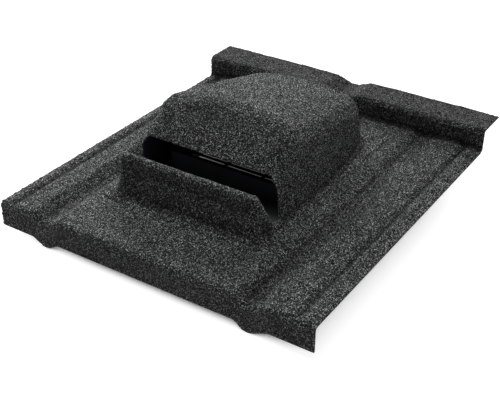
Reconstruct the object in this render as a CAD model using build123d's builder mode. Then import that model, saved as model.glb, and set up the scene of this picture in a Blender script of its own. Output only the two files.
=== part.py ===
"""Roof vent tile: a pressed steel tile coated with stone granules, with a raised hood.

Frame: X runs across the roof, +Y up the slope and +Z out of the roof, in millimetres.
The origin is under the middle of the tile, at the height of the lowest edge of its nose.
"""
import os
from math import cos, radians, sin, sqrt

from build123d import *

# Pressed tile: one steel sheet with its stone coating
tile_width = 364.0
gauge = 370.0            # face of the nose to face of the riser
shelf_depth = 42.5
tile_sheet = 2.0
nose_drop = 27.5         # top of the side ledges to the nose's bottom edge
pan_rise = 2.0           # pan above the side ledges
riser_rise = 23.0        # shelf above the pan
nose_bend = 4.5          # outer radius where the nose meets the pan
riser_bend = 3.0         # radius in the corner between pan and riser
shelf_bend = 5.0         # outer radius where the riser meets the shelf

# Profile across the pan: each side is measured in from its own edge
left_ledge = 7.5
left_groove = 14.6
left_crest = 21.5
right_crest = 13.2
right_groove = 19.6
right_shoulder = 26.5
ledge_slope = 0.5        # each ledge slopes this much out to its edge
groove_depth = 3.0
groove_radius = 2.0
left_trough = (41.0, 53.7, 62.0, 73.5)          # outer edge, floor from, floor to, inner edge
left_trough_depth = 7.0
right_trough = (46.5, 64.5, 73.0, 82.5)
right_trough_depth = 8.0
right_trough_rear_depth = 3.5
trough_radius = 4.5

# Profile across the shelf: one dip, half a module from the troughs
shelf_dip = (161.0, 178.5, 188.5, 204.0)
shelf_dip_depth = 6.0

# Hood, in stations up the slope from the nose's face and heights above the pan
hood_offset = -8.7       # middle of the hood from the middle of the tile
hood_sheet = 2.0
mouth_station = 116.0
mouth_height = 53.0
plan_front = (100.0, 84.6)     # station and half width of the plan, run out past the mouth
plan_widest = (200.0, 88.0)
plan_rear = (323.0, 70.5)
rear_corner = 30.0
hood_lean = 7.0          # degrees that the sides lean in
brow_station = 159.0     # top of the sloping brow above the mouth
brow_height = 91.0
top_fall = 12.0          # degrees that the top falls towards the rear
crown_radius = 300.0
hood_bevel = 7.6         # with the next one, three flats that follow a 13 mm round
hood_side_bevel = 2.8    # along both sides of that bevel
space_bevel = 7.0        # bevel inside the hood, behind each rounded edge

# Flange round the hood and its lip
flange_half_width = 92.5
flange_front = 64.3
flange_rear = 337.0
flange_corner = 7.0
foot_flare = 3.0         # bevel where the hood and the lip rise from the flange

# Lip: the three-sided apron in front of the mouth, its sheet hemmed double
lip_sheet = 3.2
lip_station = 70.9       # front of the lip at its foot
lip_half_width = 86.5    # at its foot
lip_lean = 9.5           # degrees
lip_height = 47.0
lip_crest = 81.5         # station where each side wall starts to fall
lip_end = 102.0          # station where it has fallen to the low strip that joins the mouth
lip_strip = 3.0          # height of that strip above the flange
lip_corner = 12.0
lip_crest_round = 8.0
lip_foot_round = 4.0
rim_round = 1.4

# Duct collar, which seats in the tile's cut-out, and the screen inside it
collar_front = 146.0
collar_length = 125.0
collar_inset = 10.6      # from the hood's foot at the mouth to the collar's side
collar_corner = 12.0
collar_wall = 2.0
collar_height = 21.7     # above the pan
collar_floor = 1.6
collar_skirt = 8.0       # below the tile's sheet
seat_clearance = 0.4
screen_sheet = 1.2
screen_ledge = 2.5
slot_size = (43.0, 3.6)
slot_pitch = (46.5, 7.2)
slot_count = (3, 16)

# Heights and stations that follow
ledge_z = nose_drop + right_trough_depth
pan_z = ledge_z + pan_rise
shelf_z = pan_z + riser_rise
left_x = -tile_width / 2
nose_y = -(gauge + shelf_depth) / 2
riser_y = nose_y + gauge
rear_y = riser_y + shelf_depth

lap = 1.0                # how far a bend's legs run past the bend
mouth_y = nose_y + mouth_station
brow_y = nose_y + brow_station
flange_z = pan_z + hood_sheet
lip_y = nose_y + lip_station
collar_y = nose_y + collar_front + collar_length / 2
collar_width = 2 * (plan_front[1] - collar_inset)
beyond = 40.0            # how far a cutting block runs past what it cuts


def trough(corners, depth):
    """Corners of one trough in a flat surface of height 0, from the left edge."""
    fall, floor_from, floor_to, rise = corners
    return [(fall, 0), (floor_from, -depth), (floor_to, -depth), (rise, 0)]


def from_right(corners):
    """Corners measured in from the right edge, as distances from the left edge."""
    return [tile_width - corner for corner in reversed(corners)]


def placed(across, height):
    """Profile corners moved from the tile's left edge and height 0 to their place."""
    return [(left_x + x, height + z) for x, z in across]


def pan_profile(right_depth, height=0.0):
    """The profile across the pan, from its left edge to its right, raised by height."""
    across = [(0, -pan_rise), (left_ledge, ledge_slope - pan_rise)]
    across += [(left_groove, -groove_depth - pan_rise / 2), (left_crest, 0)]
    across += trough(left_trough, left_trough_depth) + trough(from_right(right_trough), right_depth)
    shoulder, groove, crest = from_right((right_crest, right_groove, right_shoulder))
    across += [(shoulder, 0), (groove, -groove_depth), (crest, -ledge_slope), (tile_width, -pan_rise)]
    radii = [groove_radius] * 3 + [trough_radius] * 8 + [groove_radius] * 3
    return FilletPolyline(*placed(across, pan_z + height), radius=radii)


def nose_edge():
    """The nose's bottom edge, which dips only at the troughs."""
    across = [(0, 0)] + trough(left_trough, left_trough_depth)
    across += trough(from_right(right_trough), right_trough_depth) + [(tile_width, 0)]
    return FilletPolyline(*placed(across, ledge_z - nose_drop), radius=trough_radius)


def shelf_profile(height=0.0):
    """The profile across the shelf, raised by height."""
    across = [(0, 0)] + trough(shelf_dip, shelf_dip_depth) + [(tile_width, 0)]
    return FilletPolyline(*placed(across, shelf_z + height), radius=trough_radius)


def face_between(make_low, make_high):
    """The face between two profiles, on the current workplane."""
    with BuildLine() as section:
        low = make_low()
        high = make_high()
        Line(low @ 0, high @ 0)
        Line(low @ 1, high @ 1)
    return make_face(section.edges())


def bent_sheet(face, back, face_radius, back_radius):
    """Section of the sheet with one bend: its face one way and its back the other way."""
    with BuildLine() as section:
        radii = [0, face_radius, 0, 0, back_radius, 0]
        FilletPolyline(*face, *back, radius=radii, close=True)
    return make_face(section.edges())


def upright(y):
    """A workplane across the tile, for sections that are extruded up the slope."""
    return Plane.XZ.offset(-y)


pan_front_y = nose_y + nose_bend + lap
pan_back_y = riser_y - riser_bend - lap
ledge_back_z = ledge_z - tile_sheet
nose_back_y = nose_y + tile_sheet
riser_back_y = riser_y + tile_sheet

with BuildPart() as base_tile:
    # The nose's bend follows the pan's profile across the tile
    with BuildLine(Plane.XZ) as front_profile:
        pan_profile(right_trough_depth)
    with BuildSketch(Plane.YZ.offset(left_x)):
        leg_z = ledge_z - nose_bend - lap
        bent_sheet(
            [(nose_y, leg_z), (nose_y, ledge_z), (pan_front_y, ledge_z)],
            [(pan_front_y, ledge_back_z), (nose_back_y, ledge_back_z), (nose_back_y, leg_z)],
            nose_bend,
            nose_bend - tile_sheet,
        )
    sweep(path=front_profile.line, normal=(1, 0, 0))
    with BuildSketch(upright(nose_y)):
        face_between(nose_edge, lambda: pan_profile(right_trough_depth, -nose_bend))
    extrude(amount=-tile_sheet)
    # The pan, whose right trough grows shallower towards the riser
    for y, depth in ((pan_front_y, right_trough_depth), (pan_back_y, right_trough_rear_depth)):
        with BuildSketch(upright(y)):
            face_between(lambda: pan_profile(depth, -tile_sheet), lambda: pan_profile(depth))
    loft(ruled=True)
    # The riser, with a bend at its foot and one at its head
    with BuildLine(Plane.XZ) as rear_profile:
        pan_profile(right_trough_rear_depth)
    with BuildSketch(Plane.YZ.offset(left_x)):
        leg_z = ledge_z + riser_bend + lap
        bent_sheet(
            [(pan_back_y, ledge_z), (riser_y, ledge_z), (riser_y, leg_z)],
            [(riser_back_y, leg_z), (riser_back_y, ledge_back_z), (pan_back_y, ledge_back_z)],
            riser_bend,
            riser_bend + tile_sheet,
        )
    sweep(path=rear_profile.line, normal=(1, 0, 0))
    with BuildSketch(upright(riser_y)):
        face_between(
            lambda: pan_profile(right_trough_rear_depth, riser_bend),
            lambda: shelf_profile(-shelf_bend),
        )
    extrude(amount=-tile_sheet)
    with BuildLine(Plane.XZ) as head_profile:
        shelf_profile()
    with BuildSketch(Plane.YZ.offset(left_x)):
        leg_z = shelf_z - shelf_bend - lap
        shelf_back_z = shelf_z - tile_sheet
        bent_sheet(
            [(riser_y, leg_z), (riser_y, shelf_z), (rear_y, shelf_z)],
            [(rear_y, shelf_back_z), (riser_back_y, shelf_back_z), (riser_back_y, leg_z)],
            shelf_bend,
            shelf_bend - tile_sheet,
        )
    sweep(path=head_profile.line, normal=(1, 0, 0))
    # The cut-out for the duct
    with BuildSketch(Plane((hood_offset, collar_y, pan_z))):
        gap = 2 * seat_clearance
        RectangleRounded(collar_width + gap, collar_length + gap, collar_corner + seat_clearance)
    extrude(amount=-tile_sheet, mode=Mode.SUBTRACT)


def hood_plan(inset=0.0):
    """The hood's outline at its foot, drawn in by inset."""
    with BuildLine() as outline:
        sides = []
        for hand in (1, -1):
            stations = (plan_front, plan_widest, (plan_rear[0] - inset, plan_rear[1]))
            sides.append(ThreePointArc(*[
                (hood_offset + hand * (half - inset), nose_y + station) for station, half in stations
            ]))
        Line(sides[0] @ 0, sides[1] @ 0)
        Line(sides[0] @ 1, sides[1] @ 1)
    face = make_face(outline.edges())
    fillet(face.vertices().group_by(Axis.Y)[-1], rear_corner - inset)


def lip_plan():
    """The lip's outline at its foot, run on under the hood."""
    length = mouth_y - lip_y + 2 * lip_corner
    with Locations((hood_offset, lip_y + length / 2)):
        RectangleRounded(2 * lip_half_width, length, lip_corner)


def is_bevel(face):
    """True for a bevel along an edge and for the three-sided flat where bevels meet."""
    return face.geom_type == GeomType.BSPLINE or len(face.edges()) == 3


def bevel_sides(body):
    """The edges along a body's bevels, without those between two bevels or at the mouth."""
    edges = body.faces().filter_by(is_bevel).edges()
    sides = ShapeList([edge for edge in edges if edges.count(edge) == 1])
    return [edge for group in sides.group_by(Axis.Y)[1:] for edge in group]


def hood_body(inset, bevel, side_bevel=0.0):
    """The hood as a solid form, drawn in by inset, with its upper edges bevelled."""
    slope = (brow_height - mouth_height) / (brow_station - mouth_station)
    drop = inset * sqrt(1 + slope**2)
    fall = radians(top_fall)
    run = 2 * inset      # the space inside runs out through the mouth
    with BuildPart() as body:
        with BuildSketch(Plane.XY.offset(pan_z)) as foot:
            hood_plan(inset)
        extrude(foot.sketch, amount=brow_height + beyond, taper=hood_lean)
        # Upright mouth and sloping brow
        with BuildSketch(Plane.YZ) as side:
            with BuildLine():
                Polyline(
                    (mouth_y - run, pan_z),
                    (mouth_y - run, pan_z + mouth_height - drop - run * slope),
                    (brow_y + beyond, pan_z + brow_height - drop + beyond * slope),
                    (-nose_y, pan_z + brow_height - drop + beyond * slope),
                    (-nose_y, pan_z),
                    close=True,
                )
            make_face()
        extrude(side.sketch, amount=tile_width / 2, both=True, mode=Mode.INTERSECT)
        # Crowned top, falling towards the rear
        brow_top = (hood_offset, brow_y, pan_z + brow_height - inset / cos(fall))
        with BuildSketch(Plane(brow_top, x_dir=(-1, 0, 0), z_dir=(0, cos(fall), -sin(fall)))) as under_crown:
            half = tile_width / 2
            radius = crown_radius - inset
            sag = radius - sqrt(radius**2 - half**2)
            with BuildLine():
                crown = ThreePointArc((-half, -sag), (0, 0), (half, -sag))
                Polyline(crown @ 1, (half, -tile_width), (-half, -tile_width), crown @ 0)
            make_face()
        extrude(under_crown.sketch, amount=gauge, both=True, mode=Mode.INTERSECT)
        top = body.faces().filter_by(GeomType.CYLINDER)[0]
        brow = body.faces().sort_by(Axis.Y)[1]
        brow_sides = brow.edges().filter_by(lambda edge: abs((edge @ 0).Y - (edge @ 1).Y) > 1)
        chamfer(top.edges() + brow_sides, bevel)
        if side_bevel:
            chamfer(bevel_sides(body), side_bevel)
    return body.part


hood_form = hood_body(0.0, hood_bevel, hood_side_bevel)
hood_space = hood_body(hood_sheet, space_bevel)

# The lip as a solid form, and its wall
with BuildPart() as lip_form:
    with BuildSketch(Plane.XY.offset(pan_z)):
        lip_plan()
    extrude(amount=lip_height, taper=lip_lean)

with BuildPart() as lip_wall:
    add(lip_form.part)
    offset(amount=-lip_sheet, openings=lip_wall.faces().filter_by(Axis.Z))
    with BuildSketch(Plane.YZ):
        with BuildLine():
            top_z = pan_z + lip_height
            strip_z = flange_z + lip_strip
            strip_end_y = mouth_y + hood_sheet
            rim = FilletPolyline(
                (lip_y, top_z),
                (nose_y + lip_crest, top_z),
                (nose_y + lip_end, strip_z),
                (strip_end_y, strip_z),
                radius=[lip_crest_round, lip_foot_round],
            )
            Polyline(rim @ 1, (strip_end_y, pan_z), (lip_y, pan_z), rim @ 0)
        make_face()
    extrude(amount=tile_width / 2, both=True, mode=Mode.INTERSECT)
    clear_z = flange_z + lip_strip / 2
    rim_edges = lip_wall.edges().filter_by(lambda edge: edge.bounding_box().min.Z > clear_z)
    crossing = rim_edges.filter_by(Axis.X).filter_by(lambda edge: edge.length < 2 * lip_sheet)
    fillet(rim_edges - crossing, rim_round)

with BuildPart() as vent_hood:
    with BuildSketch(Plane.XY.offset(pan_z)):
        with Locations((hood_offset, nose_y + (flange_front + flange_rear) / 2)):
            RectangleRounded(2 * flange_half_width, flange_rear - flange_front, flange_corner)
    extrude(amount=hood_sheet)
    for foot_plan in (hood_plan, lip_plan):
        with BuildSketch(Plane.XY.offset(flange_z)):
            foot_plan()
            offset(amount=foot_flare)
        extrude(amount=foot_flare, taper=45)
    add(lip_form.part, mode=Mode.SUBTRACT)
    add(hood_form)
    add(hood_space, mode=Mode.SUBTRACT)
    add(lip_wall.part)

with BuildPart() as duct_collar:
    # Floor inside the walls of the hood and the lip
    with BuildSketch(Plane.XY.offset(pan_z)):
        hood_plan()
        lip_plan()
        offset(amount=-lip_sheet - seat_clearance)
    extrude(amount=collar_floor)
    collar_plane = Plane((hood_offset, collar_y, pan_z))
    with BuildSketch(collar_plane.offset(-tile_sheet - collar_skirt)):
        RectangleRounded(collar_width, collar_length, collar_corner)
    extrude(amount=collar_height + tile_sheet + collar_skirt)
    with BuildSketch(collar_plane):
        inset = collar_wall
        RectangleRounded(collar_width - 2 * inset, collar_length - 2 * inset, collar_corner - inset)
    extrude(amount=collar_height, mode=Mode.SUBTRACT)
    with BuildSketch(collar_plane):
        inset = collar_wall + screen_ledge
        RectangleRounded(collar_width - 2 * inset, collar_length - 2 * inset, collar_corner - inset)
    extrude(amount=-tile_sheet - collar_skirt, mode=Mode.SUBTRACT)

with BuildPart() as insect_screen:
    with BuildSketch(collar_plane):
        inset = collar_wall + seat_clearance
        RectangleRounded(collar_width - 2 * inset, collar_length - 2 * inset, collar_corner - inset)
        with GridLocations(*slot_pitch, *slot_count):
            Rectangle(*slot_size, mode=Mode.SUBTRACT)
    extrude(amount=screen_sheet)

os.makedirs("parts", exist_ok=True)
base_tile.part.label = "base_tile"
vent_hood.part.label = "vent_hood"
duct_collar.part.label = "duct_collar"
insect_screen.part.label = "insect_screen"
export_step(base_tile.part, "parts/base_tile.step")
export_step(vent_hood.part, "parts/vent_hood.step")
export_step(duct_collar.part, "parts/duct_collar.step")
export_step(insect_screen.part, "parts/insect_screen.step")
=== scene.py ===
from math import cos, radians, sin, sqrt

import bpy
import numpy as np
from mathutils import Matrix, Vector


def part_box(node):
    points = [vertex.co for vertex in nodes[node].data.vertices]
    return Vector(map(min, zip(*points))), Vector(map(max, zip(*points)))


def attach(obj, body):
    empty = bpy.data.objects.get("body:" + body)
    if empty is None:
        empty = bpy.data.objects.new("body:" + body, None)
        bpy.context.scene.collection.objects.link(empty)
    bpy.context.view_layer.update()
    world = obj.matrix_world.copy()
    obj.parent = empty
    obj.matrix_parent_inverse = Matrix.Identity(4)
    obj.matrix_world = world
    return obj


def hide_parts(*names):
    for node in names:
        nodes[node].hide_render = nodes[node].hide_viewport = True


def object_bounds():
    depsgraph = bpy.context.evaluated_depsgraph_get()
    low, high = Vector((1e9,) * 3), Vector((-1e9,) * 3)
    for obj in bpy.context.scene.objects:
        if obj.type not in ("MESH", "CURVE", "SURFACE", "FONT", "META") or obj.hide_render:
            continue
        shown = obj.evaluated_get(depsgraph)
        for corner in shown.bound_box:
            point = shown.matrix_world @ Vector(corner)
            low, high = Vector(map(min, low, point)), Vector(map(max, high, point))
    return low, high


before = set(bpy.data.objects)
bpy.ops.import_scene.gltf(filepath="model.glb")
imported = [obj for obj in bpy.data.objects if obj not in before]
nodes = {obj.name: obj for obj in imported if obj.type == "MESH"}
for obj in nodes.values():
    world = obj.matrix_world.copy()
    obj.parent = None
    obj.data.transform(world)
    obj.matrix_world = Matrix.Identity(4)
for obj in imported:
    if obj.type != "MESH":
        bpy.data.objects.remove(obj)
cad_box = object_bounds()
scene = bpy.context.scene


# Sizes in metres. A station is a distance behind the face of the nose

gauge = 0.370               # face of the nose to face of the riser
sheet = 0.002
mouth_station = 0.116
lip_crest = 0.0815          # station where each side edge of the lip starts to fall
lip_fall = 2.05             # how steeply it falls towards the mouth
lip_height = 0.047          # above the pan
roll_height = 0.011         # how much of that height the lip's rolled rim takes
roll_depth = 0.0026         # how far the rolled rim stands out
feather = 0.0022            # how far the flange's edge runs out onto the pan
coat_depth = 0.00055        # from the tops of the granules to the gaps between them
hidden_triangles = 16000    # left on the uncoated side of each sheet


# Places in metres, from the frame

nose_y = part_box("base_tile")[0].y
riser_y = nose_y + gauge
mouth_y = nose_y + mouth_station
hood_low, hood_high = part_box("vent_hood")
hood_x = (hood_low.x + hood_high.x) / 2
flange_half = (hood_high.x - hood_low.x) / 2
pan_top = hood_low.z
flange_top = pan_top + sheet
lip_top = pan_top + lip_height
lip_side = nose_y + lip_crest
air_middle = (hood_x, 0.0, 0.060)


# Materials

class Tree:
    """Short way to write the nodes of a material or a world."""

    def __init__(self, owner):
        owner.use_nodes = True
        self.owner = owner
        self.tree = owner.node_tree
        self.tree.nodes.clear()

    def node(self, kind, inputs=(), **settings):
        """A node whose inputs are linked to sockets, or set to numbers and colours."""
        made = self.tree.nodes.new(kind)
        for key, value in settings.items():
            setattr(made, key, value)
        for key, value in dict(inputs).items():
            socket = made.inputs[key]
            if isinstance(value, bpy.types.NodeSocket):
                self.tree.links.new(value, socket)
            else:
                socket.default_value = (*value, 1) if socket.type == "RGBA" else value
        return made

    def math(self, operation, a, b):
        return self.node("ShaderNodeMath", {0: a, 1: b}, operation=operation).outputs[0]

    def ramp(self, factor, stops):
        """Colour ramp from (position, grey or colour) stops."""
        made = self.node("ShaderNodeValToRGB", {"Fac": factor})
        elements = made.color_ramp.elements
        while len(elements) < len(stops):
            elements.new(0.5)
        for element, (position, colour) in zip(elements, stops):
            element.position = position
            grey = isinstance(colour, float)
            element.color = (colour, colour, colour, 1) if grey else (*colour, 1)
        return made.outputs["Color"]

    def mix(self, factor, a, b, blend="MIX"):
        """Colour b over colour a."""
        colours = {0: factor, 6: a, 7: b}
        made = self.node("ShaderNodeMix", colours, data_type="RGBA", blend_type=blend)
        return made.outputs[2]

    def multiplied(self, a, b):
        return self.mix(1.0, a, b, "MULTIPLY")

    def output(self, shader, kind="Material"):
        self.node("ShaderNodeOutput" + kind, {"Surface": shader})
        return self.owner


def granule_material(name):
    """Charcoal stone granules under a millimetre across, bonded to a dark primed sheet."""
    granules_per_metre = 1500.0
    patches_per_metre = 28.0
    bump_depth = 0.0005
    primer = (0.075, 0.083, 0.095)
    stone_colours = [               # most stones are nearly black, and a few are pale
        (0.0, (0.001, 0.001, 0.001)),
        (0.42, (0.006, 0.007, 0.007)),
        (0.66, (0.030, 0.033, 0.032)),
        (0.82, (0.135, 0.147, 0.141)),
        (0.92, (0.43, 0.455, 0.44)),
        (1.0, (0.93, 0.96, 0.94)),
    ]
    stone_tints = [
        (0.0, (1.0, 0.97, 0.96)),
        (0.35, (0.98, 1.0, 0.99)),
        (0.7, (0.95, 1.0, 0.99)),
        (1.0, (0.97, 0.98, 1.04)),
    ]

    t = Tree(bpy.data.materials.new(name))
    place = t.node("ShaderNodeTexCoord").outputs["Object"]
    coat = t.node("ShaderNodeAttribute", attribute_name="coat").outputs["Fac"]
    painted_shade_highlight_factor = t.node("ShaderNodeAttribute", attribute_name="painted_shade_highlight").outputs["Fac"]

    spread = {"Vector": place, "Scale": granules_per_metre, "Randomness": 1.0}
    stones = t.node("ShaderNodeTexVoronoi", spread)
    draw = t.node("ShaderNodeSeparateColor", {"Color": stones.outputs["Color"]})
    shade, tint, lift = draw.outputs

    drift = {"Vector": place, "Scale": patches_per_metre, "Detail": 3.0, "Roughness": 0.55}
    patches = t.node("ShaderNodeTexNoise", drift)
    colour = t.multiplied(t.ramp(shade, stone_colours), t.ramp(tint, stone_tints))
    colour = t.multiplied(colour, t.ramp(patches.outputs["Fac"], [(0.3, 0.90), (0.7, 1.08)]))
    # painted shade in hollows and on the shelf, and painted highlight on ridges
    colour = t.multiplied(colour, painted_shade_highlight_factor)
    colour = t.mix(coat, primer, colour)

    domed = t.math("SUBTRACT", 1.0, stones.outputs["Distance"])
    height = t.math("ADD", t.math("MULTIPLY", domed, 0.6), t.math("MULTIPLY", lift, 0.6))
    height = t.math("MULTIPLY", height, coat)
    relief = {"Strength": 0.8, "Distance": bump_depth, "Height": height}
    shader = t.node("ShaderNodeBsdfPrincipled", {
        "Base Color": colour,
        "Roughness": t.ramp(lift, [(0.0, 0.95), (0.75, 0.8), (1.0, 0.6)]),
        "Normal": t.node("ShaderNodeBump", relief).outputs["Normal"],
        "Specular IOR Level": 0.35,
    })
    return t.output(shader.outputs[0])


def plastic_material(name, colour, roughness):
    """Moulded plastic with a faint grain and a slow change of shade and gloss."""
    grains_per_metre = 900.0
    clouds_per_metre = 35.0
    grain_depth = 0.0002
    darker = [part * 0.75 for part in colour]
    lighter = [part * 1.3 for part in colour]

    t = Tree(bpy.data.materials.new(name))
    place = t.node("ShaderNodeTexCoord").outputs["Object"]
    fine = {"Vector": place, "Scale": grains_per_metre, "Detail": 2.0}
    coarse = {"Vector": place, "Scale": clouds_per_metre, "Detail": 3.0}
    grain = t.node("ShaderNodeTexNoise", fine).outputs["Fac"]
    cloud = t.node("ShaderNodeTexNoise", coarse).outputs["Fac"]
    relief = {"Strength": 0.25, "Distance": grain_depth, "Height": grain}
    shader = t.node("ShaderNodeBsdfPrincipled", {
        "Base Color": t.mix(cloud, darker, lighter),
        "Roughness": t.ramp(cloud, [(0.3, roughness - 0.06), (0.7, roughness + 0.08)]),
        "Normal": t.node("ShaderNodeBump", relief).outputs["Normal"],
        "Specular IOR Level": 0.4,
    })
    return t.output(shader.outputs[0])


def dress(node, material):
    """Show a CAD node in this material."""
    for slot in nodes[node].material_slots:
        slot.link = "OBJECT"
        slot.material = material


granules = granule_material("stone_granules")
dress("duct_collar", plastic_material("collar_plastic", (0.11, 0.12, 0.127), 0.72))
dress("insect_screen", plastic_material("screen_plastic", (0.010, 0.010, 0.011), 0.6))


# Mesh tools

def read(items, name, width, kind=float):
    """An attribute of all corners or edges, one row for each."""
    values = np.empty(len(items) * width, dtype=kind)
    items.foreach_get(name, values)
    return values.reshape(-1, width)


def corners(mesh):
    """The places and the normals of the mesh's corners."""
    return read(mesh.vertices, "co", 3), read(mesh.vertices, "normal", 3)


def move(mesh, points):
    mesh.vertices.foreach_set("co", points.ravel())
    mesh.update()


def as_modified(piece):
    """A new mesh, as the piece's modifiers leave it."""
    depsgraph = bpy.context.evaluated_depsgraph_get()
    return bpy.data.meshes.new_from_object(piece.evaluated_get(depsgraph))


def even_mesh(node, voxel):
    """A node's closed surface, meshed again on an even grid."""
    solid = bpy.data.objects.new(node + "_solid", nodes[node].data.copy())
    scene.collection.objects.link(solid)
    remesh = solid.modifiers.new("even", "REMESH")
    remesh.mode = "VOXEL"
    remesh.voxel_size = voxel
    made = as_modified(solid)
    bpy.data.objects.remove(solid)
    return made


def evened(mesh, shares):
    """The mesh's corners, moved by each share in turn towards the mean of their neighbours."""
    points = read(mesh.vertices, "co", 3)
    edges = read(mesh.edges, "vertices", 2, np.int32)
    ends = np.concatenate((edges[:, 0], edges[:, 1]))
    others = np.concatenate((edges[:, 1], edges[:, 0]))
    count = np.bincount(ends, minlength=len(points))
    for share in shares:
        for axis in range(3):
            sums = np.bincount(ends, weights=points[others, axis], minlength=len(points))
            points[:, axis] += share * (sums / count - points[:, axis])
    return points


def lighten(piece, hidden):
    """Cut down the triangles on the hidden part of a piece, and keep all of them elsewhere."""
    group = piece.vertex_groups.new(name="hidden")
    group.add(np.flatnonzero(hidden).tolist(), 1.0, "REPLACE")
    whole = 2 * len(piece.data.polygons)
    fewer = piece.modifiers.new("fewer", "DECIMATE")
    fewer.vertex_group = group.name
    fewer.ratio = ((1 - hidden.mean()) * whole + hidden_triangles) / whole
    made = as_modified(piece)
    piece.modifiers.clear()
    piece.vertex_groups.clear()
    piece.data = made


def ramped(value, low, high):
    """0 at low, 1 at high and even between them. Low may be the greater."""
    return np.clip((value - low) / (high - low), 0.0, 1.0)


# Where the coat is, and its painted shade and highlight

def tile_outside(points, normals):
    """1 where the tile's granules are: its top, its nose's face and its riser's face."""
    outward = np.array((0.0, -0.35, 0.94))
    bare, covered = -0.25, -0.05
    return ramped(normals @ outward, bare, covered)


def hood_outside(points, normals):
    """1 where the hood's granules are: faces turned away from the air space, and the rim."""
    away = ((points - np.array(air_middle)) * normals).sum(axis=1)
    on_flange = (points[:, 2] < flange_top + 0.001) & (normals[:, 2] > 0.5)
    on_roll = lip_roll(points) > 0.6 * roll_depth
    away[on_flange | on_roll] = 1.0
    turned_away = ramped(away, 0.0, 0.004)
    not_underneath = ramped(normals[:, 2], -0.6, -0.4)
    return turned_away * not_underneath


def painted_hollow_shade_ridge_highlight(mesh, points, normals):
    """Painted shade in hollows and painted highlight on ridges, from how far each corner lies off
    the smoothed mesh.
    """
    painted_shade_per_mm, deepest_mm = 1.8, 0.42
    painted_highlight_per_mm, highest_mm = 0.35, 1.0
    heavy_smoothing = [0.5] * 18
    smooth = evened(mesh, heavy_smoothing)
    hollow_mm = ((smooth - points) * normals).sum(axis=1) / 0.001
    # painted shade in hollows, painted highlight on ridges
    darker = painted_shade_per_mm * np.clip(hollow_mm, 0.0, deepest_mm)
    lighter = painted_highlight_per_mm * np.clip(-hollow_mm, 0.0, highest_mm)
    return 1.0 - darker + lighter


def shelf_painted_shade(points):
    """Painted shade: the coat is drawn darker on the shelf, which the next course covers."""
    darker = 0.58
    return 1.0 - darker * ramped(points[:, 1], riser_y - 0.002, riser_y + 0.003)


# The hood's finer form

def lip_roll(points):
    """How far the lip's rolled rim stands out of its sheet, most at the top of the rim."""
    mouth_fade, foot_fade = 0.002, 0.008
    y, z = points[:, 1], points[:, 2]
    below_top = lip_top - z
    below_side = (lip_top + lip_fall * (lip_side - y) - z) / sqrt(1 + lip_fall**2)
    near = ramped(np.minimum(below_top, below_side), roll_height, 0.0)
    near *= ramped(y, mouth_y, mouth_y - mouth_fade)
    near *= ramped(z, flange_top, flange_top + foot_fade)
    return roll_depth * near * (2 - near)


def hood_shape(points, normals):
    """The hood with its lip's rim rolled and the edge of its flange feathered onto the pan."""
    edge_from, edge_to = 0.0025, 0.0005     # how far inside the flange's edge this starts and ends
    sink = 0.0003
    points = points + lip_roll(points)[:, None] * normals
    x, y, z = points.T
    low = ramped(z, flange_top, pan_top)
    beside = low * ramped(abs(x - hood_x), flange_half - edge_from, flange_half - edge_to)
    before = low * ramped(y, hood_low.y + edge_from, hood_low.y + edge_to)
    behind = low * ramped(y, hood_high.y - edge_from, hood_high.y - edge_to)
    x += feather * beside * np.sign(x - hood_x)
    y += feather * (behind - before)
    z -= sink * np.maximum(beside, np.maximum(before, behind))
    return np.stack((x, y, z), axis=1)


# The pressed sheets with their coat of granules

def coated(node, voxel, rounds, outside, seed, shape=None):
    """Replace a node by its sheet with granules, each corner of the coat sunk at random."""
    piece = bpy.data.objects.new(node + "_coated", even_mesh(node, voxel))
    scene.collection.objects.link(piece)
    inward, outward = 0.5, -0.52            # in turn, they smooth a mesh and keep its size
    move(piece.data, evened(piece.data, [inward, outward] * rounds))
    lighten(piece, outside(*corners(piece.data)) < 0.01)
    if shape:
        move(piece.data, shape(*corners(piece.data)))

    points, normals = corners(piece.data)
    coat = outside(points, normals)
    # painted shade in hollows and on the shelf, and painted highlight on ridges
    painted_shade_highlight = painted_hollow_shade_ridge_highlight(piece.data, points, normals) * shelf_painted_shade(points)
    random = np.random.default_rng(seed)
    deeper, sideways = 0.8, 0.2 * voxel     # a power under 1 leaves more corners deep
    depth = coat_depth * random.random(len(points)) ** deeper * coat
    aside = sideways * random.normal(size=points.shape) * coat[:, None]
    move(piece.data, np.clip(points - depth[:, None] * normals + aside, *cad_box))
    for name, values in (("coat", coat), ("painted_shade_highlight", painted_shade_highlight)):
        layer = piece.data.attributes.new(name, "FLOAT", "POINT")
        layer.data.foreach_set("value", values)

    piece.data.materials.clear()
    piece.data.materials.append(granules)
    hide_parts(node)
    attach(piece, "root")


coated("base_tile", voxel=0.0014, rounds=2, outside=tile_outside, seed=11)
coated("vent_hood", voxel=0.0012, rounds=3, outside=hood_outside, seed=23, shape=hood_shape)


# Floor and backdrop

def seen_by(t, *rays):
    """1 for a ray of any of these kinds, and 0 for others."""
    path = t.node("ShaderNodeLightPath")
    seen = path.outputs[rays[0]]
    for ray in rays[1:]:
        seen = t.math("MAXIMUM", seen, path.outputs[ray])
    return seen


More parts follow.
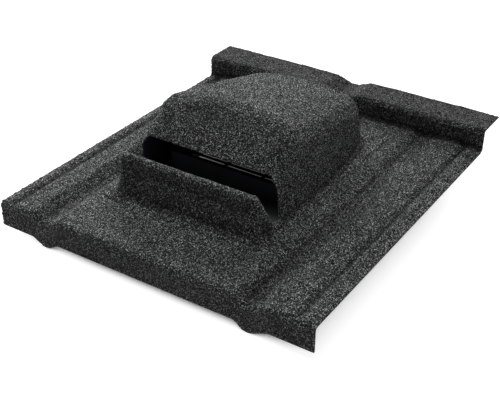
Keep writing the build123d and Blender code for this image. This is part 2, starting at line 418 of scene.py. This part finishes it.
def floor_material():
    """White floor that keeps the object's shadow; its glow fades out near and under the object, a
    painted shadow.
    """
    grey = (0.5, 0.5, 0.5)
    glow = 0.88                             # with the light on the grey, this is white
    reach = 0.25
    t = Tree(bpy.data.materials.new("floor"))
    seen = seen_by(t, "Is Camera Ray", "Is Glossy Ray", "Is Transmission Ray")
    openness = t.node("ShaderNodeAmbientOcclusion", {"Distance": reach}, samples=8)
    # painted shadow: the floor's glow is cut where the object hides the sky above it
    glow_with_painted_shadow = t.ramp(openness.outputs["AO"], [(0.12, 0.0), (0.28, 1.0)])
    strength = t.math("MULTIPLY", seen, glow)
    lit = t.node("ShaderNodeBsdfDiffuse", {"Color": grey})
    plain = t.node("ShaderNodeEmission", {"Color": glow_with_painted_shadow, "Strength": strength})
    both = t.node("ShaderNodeAddShader", {0: lit.outputs[0], 1: plain.outputs[0]})
    return t.output(both.outputs[0])


def studio_world():
    """White behind the object, and a faint light from all round."""
    white = (1.0, 1.0, 1.0)
    t = Tree(bpy.data.worlds.new("studio"))
    seen = seen_by(t, "Is Camera Ray", "Is Transmission Ray")
    ambient = t.node("ShaderNodeBackground", {"Color": white, "Strength": 0.02})
    backdrop = t.node("ShaderNodeBackground", {"Color": white, "Strength": 1.0})
    chosen = {0: seen, 1: ambient.outputs[0], 2: backdrop.outputs[0]}
    return t.output(t.node("ShaderNodeMixShader", chosen).outputs[0], "World")


clearance = 0.0002
bpy.ops.mesh.primitive_plane_add(size=8.0, location=(0, 0, cad_box[0][2] - clearance))
floor = bpy.context.object
floor.name = "floor"
floor.data.materials.append(floor_material())
scene.world = studio_world()


# Lamps

lamp_distance = 4.0
lamp_size = 1.7
lamp_target = Vector((0, 0, 0.05))
lamps = {                                   # azimuth and elevation in degrees, and watts
    "overhead": (0, 88, 41.0),
    "low_behind": (190, 22, 72.0),
    "low_behind_left": (225, 22, 93.0),
    "low_left": (270, 18, 83.0),
    "right": (90, 40, 20.0),
}


def direction(azimuth, elevation):
    """The way out to an azimuth in radians, 0 in front of the nose and growing to the right."""
    level = cos(elevation)
    return Vector((sin(azimuth) * level, -cos(azimuth) * level, sin(elevation)))


for name, (azimuth, elevation, power) in lamps.items():
    light = bpy.data.lights.new(name, "AREA")
    light.shape = "SQUARE"
    light.size = lamp_size
    light.energy = power
    softbox = bpy.data.objects.new(name, light)
    scene.collection.objects.link(softbox)
    towards = direction(radians(azimuth), radians(elevation))
    softbox.location = lamp_target + lamp_distance * towards
    softbox.rotation_euler = towards.to_track_quat("Z", "Y").to_euler()

scene.view_settings.view_transform = "Standard"


# Camera

view_azimuth, view_elevation, view_roll = radians(32.73), radians(31.50), radians(0.52)
camera_place = (0.48446, -0.77896, 0.55568)

back = direction(view_azimuth, view_elevation)
level = Vector((0, 0, 1)).cross(back).normalized()
upward = back.cross(level)
right = level * cos(view_roll) + upward * sin(view_roll)
up = upward * cos(view_roll) - level * sin(view_roll)
lens = bpy.data.cameras.new("camera")
lens.sensor_width = 36.0
lens.lens = 71.02
lens.clip_start = 0.05
camera = bpy.data.objects.new("camera", lens)
scene.collection.objects.link(camera)
turned = Matrix((right, up, back)).transposed().to_4x4()
camera.matrix_world = Matrix.Translation(camera_place) @ turned
scene.camera = camera
